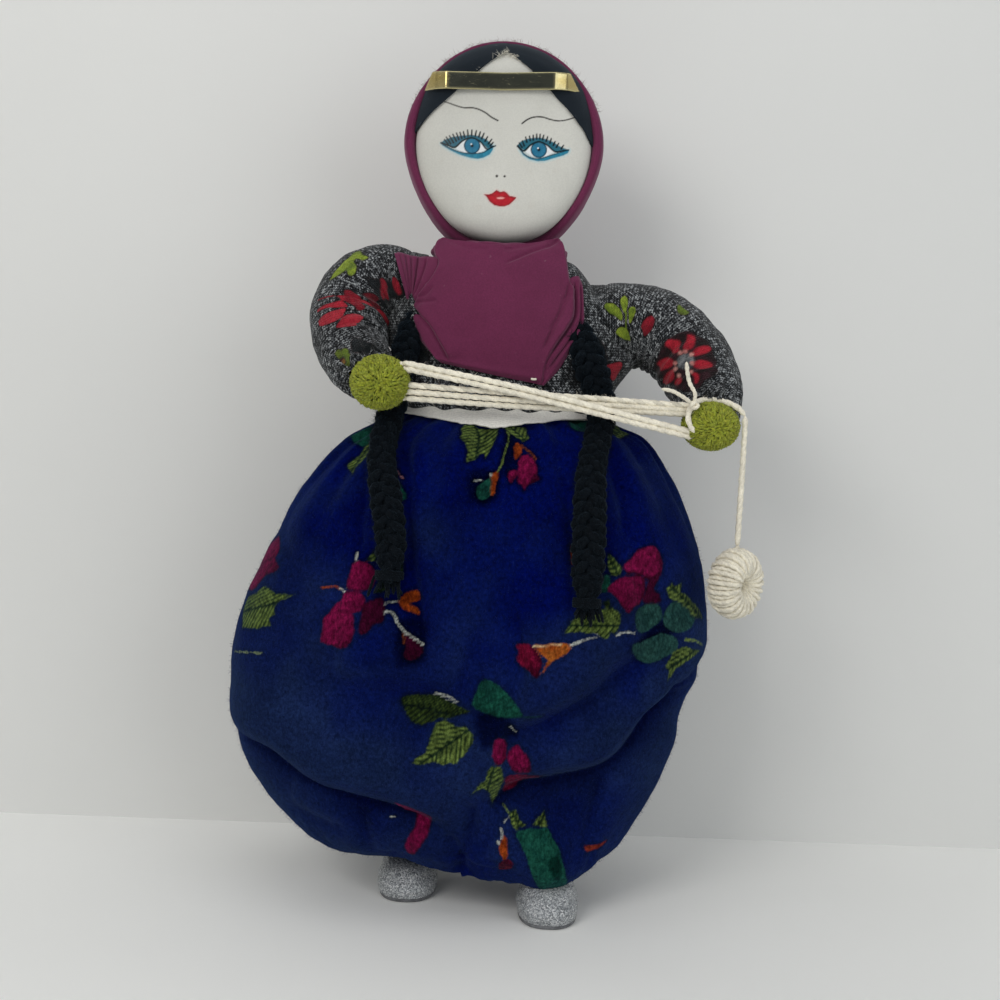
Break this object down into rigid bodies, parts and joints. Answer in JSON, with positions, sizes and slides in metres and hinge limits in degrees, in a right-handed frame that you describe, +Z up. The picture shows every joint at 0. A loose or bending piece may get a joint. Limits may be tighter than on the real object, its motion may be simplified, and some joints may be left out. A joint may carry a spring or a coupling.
{
  "type": "cloth doll",
  "caption": "Standing cloth doll in a headscarf and wide printed trousers, with wound-yarn hands that hold stretched yarn and a small skein hanging from one hand.",
  "frame": {"origin": "centre of the doll's own bounding box, at the bottom of the soles; the hanging yarn and its skein don't count in the box", "axes": "+Z up along the doll, -Y out of the face, +X towards the doll's own left side, which is the viewer's right"},
  "size_m": [0.2313, 0.1145, 0.3801],
  "materials": {
    "white_cotton": "matte",
    "black_cotton": "matte",
    "gold_foil": "gloss",
    "plum_cotton": "matte",
    "printed_knit": "matte",
    "wadding": "matte",
    "wood": "matte",
    "steel_wire": "satin",
    "green_yarn": "matte",
    "cream_yarn": "matte",
    "black_yarn": "matte",
    "blue_print": "matte",
    "silver_glitter": "satin",
    "grey_sole": "matte"
  },
  "bodies": {
    "torso": {"blouse": "printed_knit", "torso_stuffing": "wadding", "spine_stick": "wood", "scarf_bib": "plum_cotton", "scarf_back": "plum_cotton", "neck_wrap": "plum_cotton", "waistband": "white_cotton", "braid_right_top": "black_yarn", "braid_left_top": "black_yarn", "trousers": "blue_print", "trouser_wadding": "wadding", "hip_block": "wood", "leg_stick_right": "wood", "leg_stick_left": "wood", "shoe_right": "silver_glitter", "shoe_left": "silver_glitter", "sole_right": "grey_sole", "sole_left": "grey_sole"},
    "head": {"face_cloth": "white_cotton", "head_back_cloth": "white_cotton", "head_stuffing": "wadding", "hair_right": "black_cotton", "hair_left": "black_cotton", "headband": "gold_foil", "headscarf": "plum_cotton"},
    "arms": {"arm_wire": "steel_wire", "sleeve_right": "printed_knit", "sleeve_left": "printed_knit", "arm_stuffing_right": "wadding", "arm_stuffing_left": "wadding", "hand_right": "green_yarn", "hand_left": "green_yarn", "yarn_strand_1": "cream_yarn", "yarn_strand_2": "cream_yarn", "yarn_strand_3": "cream_yarn", "yarn_strand_4": "cream_yarn", "yarn_strand_5": "cream_yarn"},
    "yarn_top": {"drop_yarn_top": "cream_yarn"},
    "yarn_drop": {"drop_yarn": "cream_yarn"},
    "skein": {"yarn_skein": "cream_yarn"},
    "braid_right": {"braid_right": "black_yarn", "braid_tie_right": "black_yarn"},
    "braid_left": {"braid_left": "black_yarn", "braid_tie_left": "black_yarn"}
  },
  "joints": [
    {"name": "head_turn", "type": "hinge", "parent": "torso", "child": "head", "pos_m": [0.0034, 0.011, 0.291], "axis": [0, 0, 1], "range_deg": [-25, 25]},
    {"name": "arms_swing", "type": "hinge", "parent": "torso", "child": "arms", "pos_m": [-0.0371, 0.009, 0.271], "axis": [0.9904, 0, -0.1382], "range_deg": [-45, 0]},
    {"name": "yarn_plumb", "type": "hinge", "parent": "arms", "child": "yarn_top", "pos_m": [0.1093, -0.0315, 0.2255], "axis": [0.9904, 0, -0.1382], "range_deg": [0, 45]},
    {"name": "yarn_sway", "type": "hinge", "parent": "yarn_top", "child": "yarn_drop", "pos_m": [0.1093, -0.0315, 0.218], "axis": [0, 1, 0], "range_deg": [-50, 5]},
    {"name": "skein_spin", "type": "hinge", "parent": "yarn_drop", "child": "skein", "pos_m": [0.1087, -0.0315, 0.1668], "axis": [0, 0, 1], "continuous": true},
    {"name": "braid_right_swing", "type": "hinge", "parent": "torso", "child": "braid_right", "pos_m": [-0.0318, -0.0268, 0.2178], "axis": [1, 0, 0], "range_deg": [-35, 0]},
    {"name": "braid_left_swing", "type": "hinge", "parent": "torso", "child": "braid_left", "pos_m": [0.0455, -0.0268, 0.2178], "axis": [1, 0, 0], "range_deg": [-35, 0]}
  ],
  "couplings": [
    {"joint": "yarn_plumb", "follows": "arms_swing", "ratio": -1}
  ]
}
